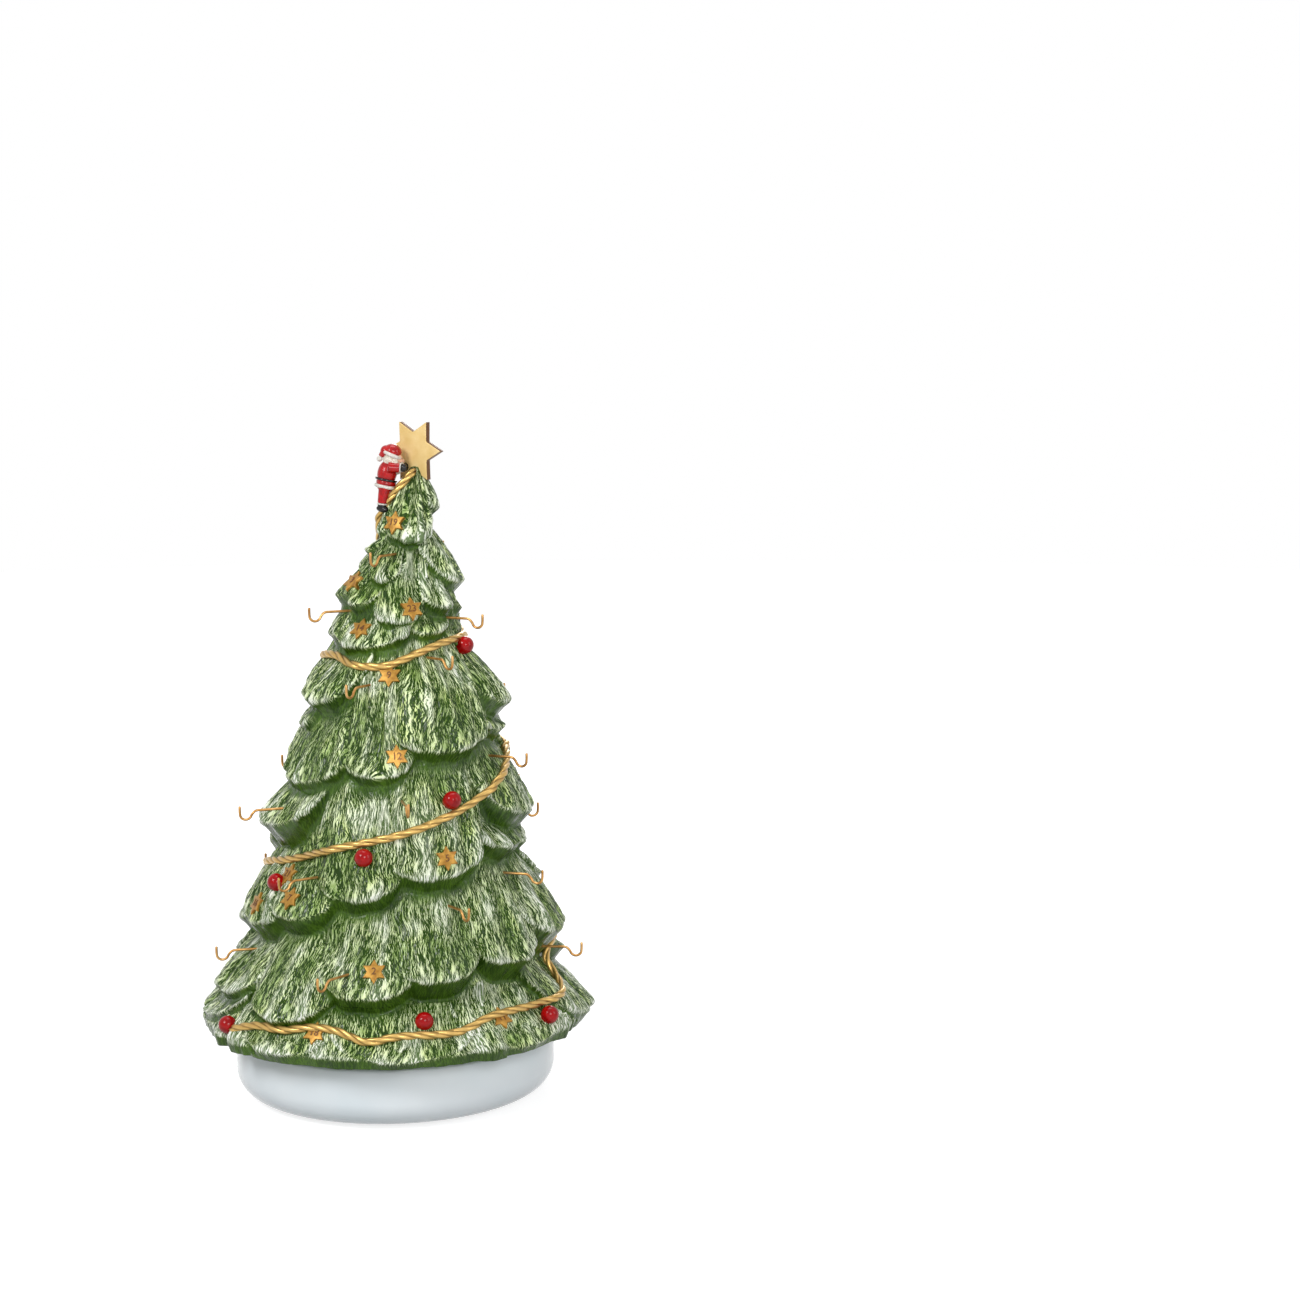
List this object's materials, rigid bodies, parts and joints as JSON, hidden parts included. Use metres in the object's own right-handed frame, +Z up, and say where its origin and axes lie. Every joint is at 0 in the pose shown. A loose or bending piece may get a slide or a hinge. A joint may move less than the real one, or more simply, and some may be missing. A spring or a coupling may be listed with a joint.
{
  "type": "advent calendar tree",
  "caption": "Porcelain Christmas tree with numbered stars, brass hooks, a gold rope, red balls and a climbing Father Christmas, on a round white base with a hidden turntable.",
  "frame": {"origin": "middle of the underside of the felt pad, on the table", "axes": "+Z up along the turning axis; -Y is the front, with the most numbered stars; +X is on the right of someone in front"},
  "size_m": [0.2746, 0.2713, 0.4715],
  "materials": {
    "felt": "matt wool felt",
    "zinc_steel": "zinc plated, satin",
    "black_steel": "black oxide, satin",
    "white_glaze": "white porcelain, clear glaze, glossy",
    "green_glaze": "white porcelain under a transparent green glaze, frosted white on the needles, glossy",
    "gold_glaze": "porcelain painted with burnished gold, satin",
    "red_glaze": "porcelain with opaque red, white and black on-glaze colours, glossy",
    "brass": "drawn brass wire, satin",
    "rubber": "black rubber, matt",
    "nylon": "natural nylon, satin"
  },
  "bodies": {
    "base": {"felt_pad": "felt", "base_plate": "zinc_steel", "plate_screw_01": "zinc_steel", "plate_screw_02": "zinc_steel", "plate_screw_03": "zinc_steel", "base_drum": "white_glaze", "lower_race": "zinc_steel", "pivot_bolt": "black_steel", "pivot_washer": "zinc_steel", "pivot_nut": "zinc_steel"},
    "cage": {"ball_cage": "nylon", "bearing_ball_01": "zinc_steel", "bearing_ball_02": "zinc_steel", "bearing_ball_03": "zinc_steel", "bearing_ball_04": "zinc_steel", "bearing_ball_05": "zinc_steel", "bearing_ball_06": "zinc_steel"},
    "tree": {"upper_race": "zinc_steel", "turn_disc": "zinc_steel", "pivot_bush": "nylon", "grip_ring": "rubber", "tree_shell": "green_glaze", "top_star": "gold_glaze", "climbing_figure": "red_glaze", "garland": "gold_glaze", "red_ball_01": "red_glaze", "red_ball_02": "red_glaze", "red_ball_03": "red_glaze", "red_ball_04": "red_glaze", "red_ball_05": "red_glaze", "red_ball_06": "red_glaze", "red_ball_07": "red_glaze", "red_ball_08": "red_glaze", "red_ball_09": "red_glaze", "red_ball_10": "red_glaze", "red_ball_11": "red_glaze", "hook_01": "brass", "hook_02": "brass", "hook_03": "brass", "hook_04": "brass", "hook_05": "brass", "hook_06": "brass", "hook_07": "brass", "hook_08": "brass", "hook_09": "brass", "hook_10": "brass", "hook_11": "brass", "hook_12": "brass", "hook_13": "brass", "hook_14": "brass", "hook_15": "brass", "hook_16": "brass", "hook_17": "brass", "hook_18": "brass", "hook_19": "brass", "hook_20": "brass", "hook_21": "brass", "hook_22": "brass", "hook_23": "brass", "hook_24": "brass"}
  },
  "joints": [
    {"name": "tree_spin", "type": "hinge", "parent": "base", "child": "tree", "pos_m": [0, 0, 0.0319], "axis": [0, 0, 1], "continuous": true},
    {"name": "cage_spin", "type": "hinge", "parent": "base", "child": "cage", "pos_m": [0, 0, 0.0319], "axis": [0, 0, 1], "continuous": true}
  ],
  "couplings": [
    {"joint": "cage_spin", "follows": "tree_spin", "ratio": 0.5}
  ]
}
